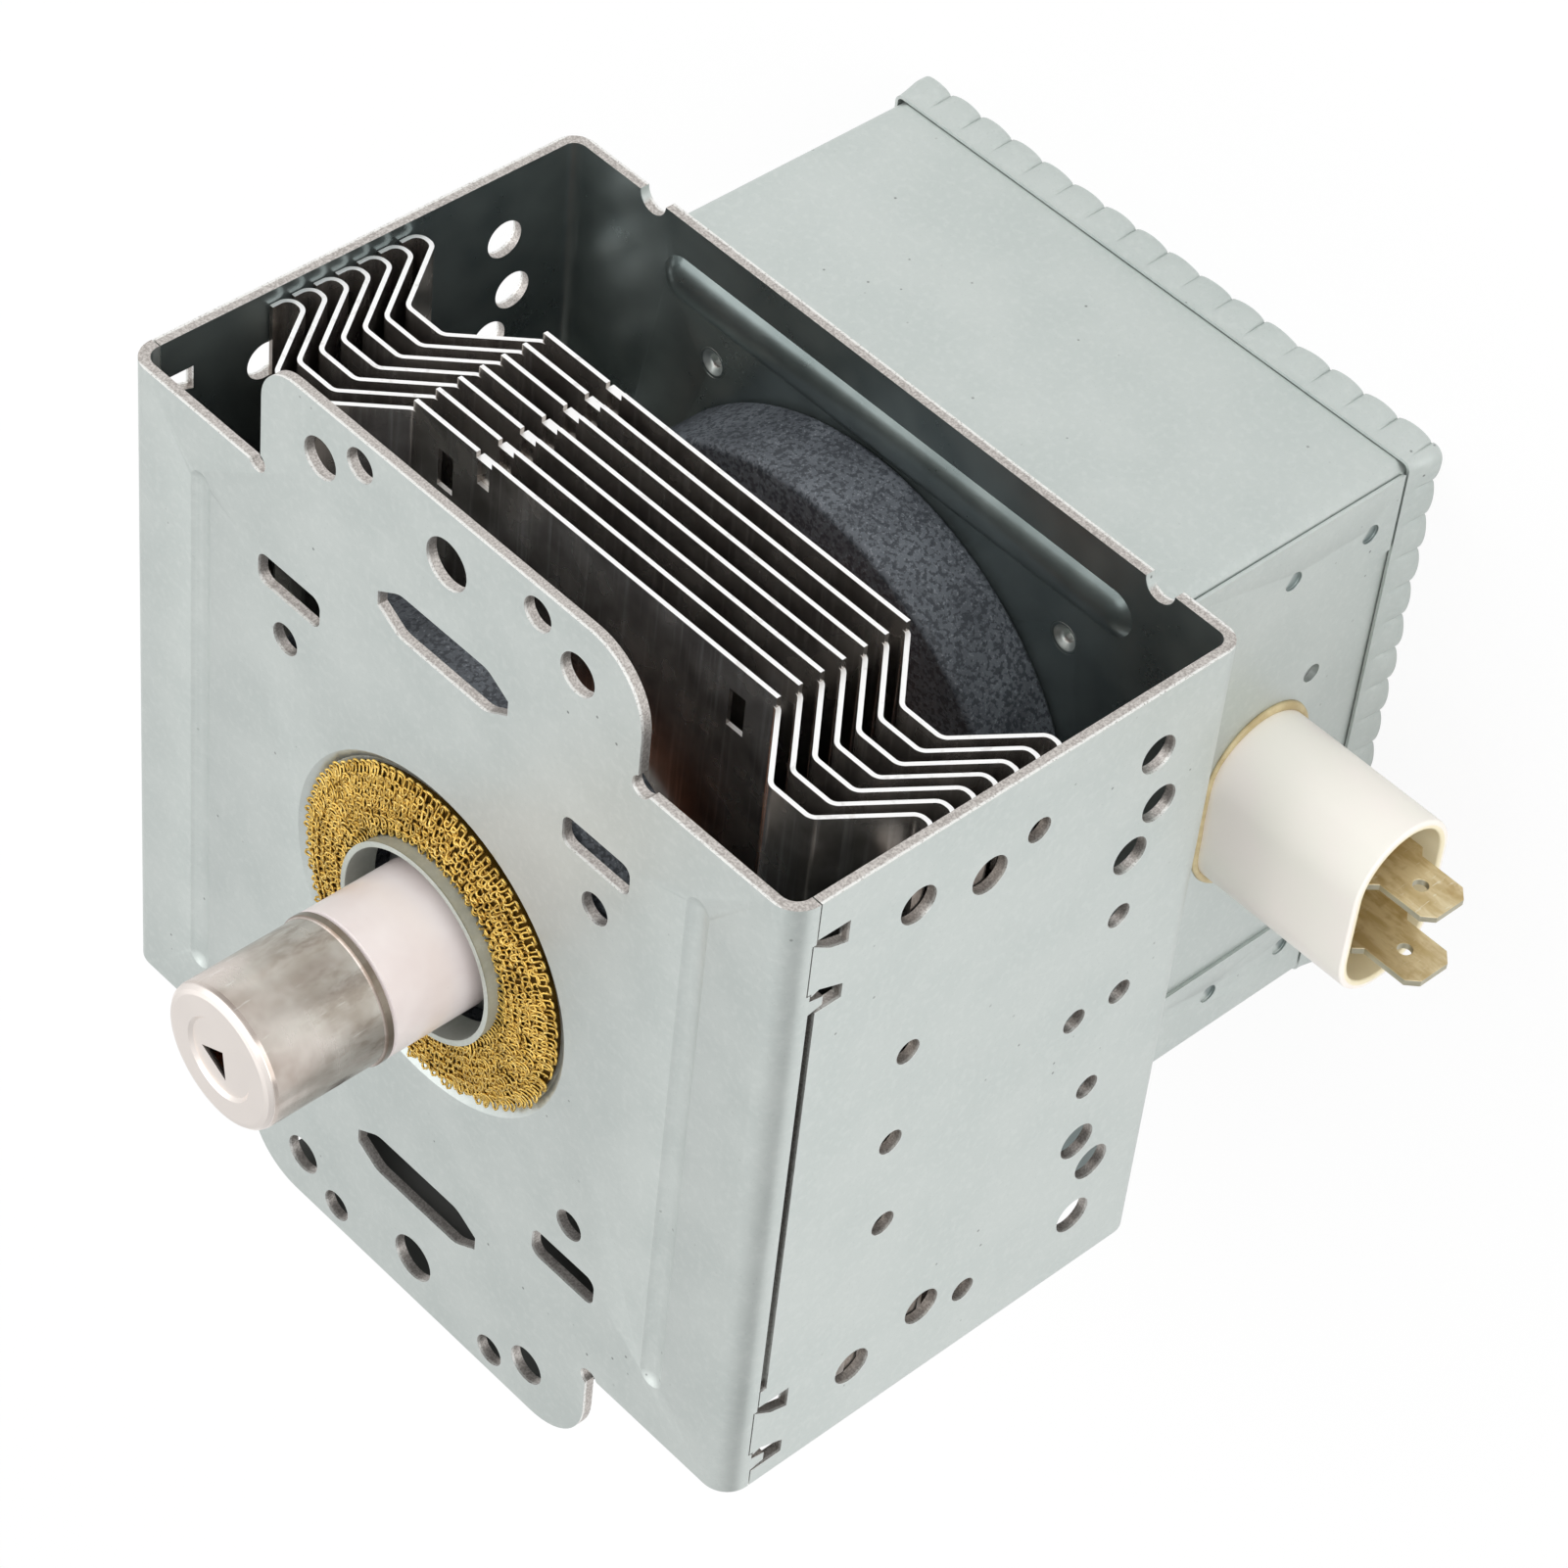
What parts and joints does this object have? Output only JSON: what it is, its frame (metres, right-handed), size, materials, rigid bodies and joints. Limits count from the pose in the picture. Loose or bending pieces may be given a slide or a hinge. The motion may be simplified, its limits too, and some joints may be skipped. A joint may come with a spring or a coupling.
{
  "type": "magnetron",
  "caption": "Microwave-oven magnetron: finned anode between ring magnets in a folded steel yoke, capped antenna with mesh gasket, and filter box with two blade terminals",
  "frame": {"origin": "on the tube axis, in the plane of the front plate's outer face, at the middle of its four mounting holes", "axes": "+Z along the tube axis towards the antenna; +Y towards the open side that shows the fins; +X towards the terminals; stands on the filter box lid"},
  "size_m": [0.1094, 0.11, 0.1218],
  "materials": {
    "zinc_steel": "zinc-plated cold-rolled sheet with fine spangle",
    "ferrite": "sintered ferrite, dark blue-grey, speckled",
    "fin_aluminium": "bright rolled aluminium with sheared edges",
    "copper": "bare copper",
    "soft_iron": "plain drawn iron",
    "refractory": "matt tungsten and molybdenum",
    "seal_steel": "drawn sealing steel",
    "tube_ceramic": "smooth white alumina with a pink cast",
    "cap_steel": "satin stainless steel with faint heat tint",
    "gasket_brass": "knitted brass wire",
    "ivory_plastic": "ivory moulded plastic, smooth satin",
    "terminal_brass": "tarnished tin-plated brass",
    "potting": "cast resin",
    "enamel_wire": "enamelled copper wire"
  },
  "bodies": {
    "root": {"front_plate": "zinc_steel", "yoke_frame": "zinc_steel", "magnet_front": "ferrite", "magnet_rear": "ferrite", "anode_cylinder": "copper", "anode_vanes": "copper", "strap_ring_front": "copper", "strap_ring_rear": "copper", "pole_piece_front": "soft_iron", "pole_piece_rear": "soft_iron", "filament_coil": "refractory", "cathode_hat_front": "refractory", "cathode_hat_rear": "refractory", "cathode_centre_lead": "refractory", "cathode_side_lead": "refractory", "front_seal_cup": "seal_steel", "rear_seal_cup": "seal_steel", "antenna_ceramic": "tube_ceramic", "stem_ceramic": "tube_ceramic", "stem_pins": "seal_steel", "exhaust_tube": "copper", "antenna_lead": "copper", "antenna_cap": "cap_steel", "gasket_collar": "zinc_steel", "gasket_mesh": "gasket_brass", "filter_box": "zinc_steel", "box_side_strips": "zinc_steel", "filter_lid": "zinc_steel", "box_rivets": "zinc_steel", "terminal_sleeve": "ivory_plastic", "capacitor_flange": "zinc_steel", "capacitor_body": "potting", "terminal_tab_upper": "terminal_brass", "terminal_tab_lower": "terminal_brass", "choke_core_upper": "ferrite", "choke_core_lower": "ferrite", "choke_coil_upper": "enamel_wire", "choke_coil_lower": "enamel_wire", "choke_leads_upper": "enamel_wire", "choke_leads_lower": "enamel_wire", "cooling_fin_1": "fin_aluminium", "cooling_fin_2": "fin_aluminium", "cooling_fin_3": "fin_aluminium", "cooling_fin_4": "fin_aluminium", "cooling_fin_5": "fin_aluminium", "cooling_fin_6": "fin_aluminium", "cooling_fin_7": "fin_aluminium"}
  },
  "joints": []
}
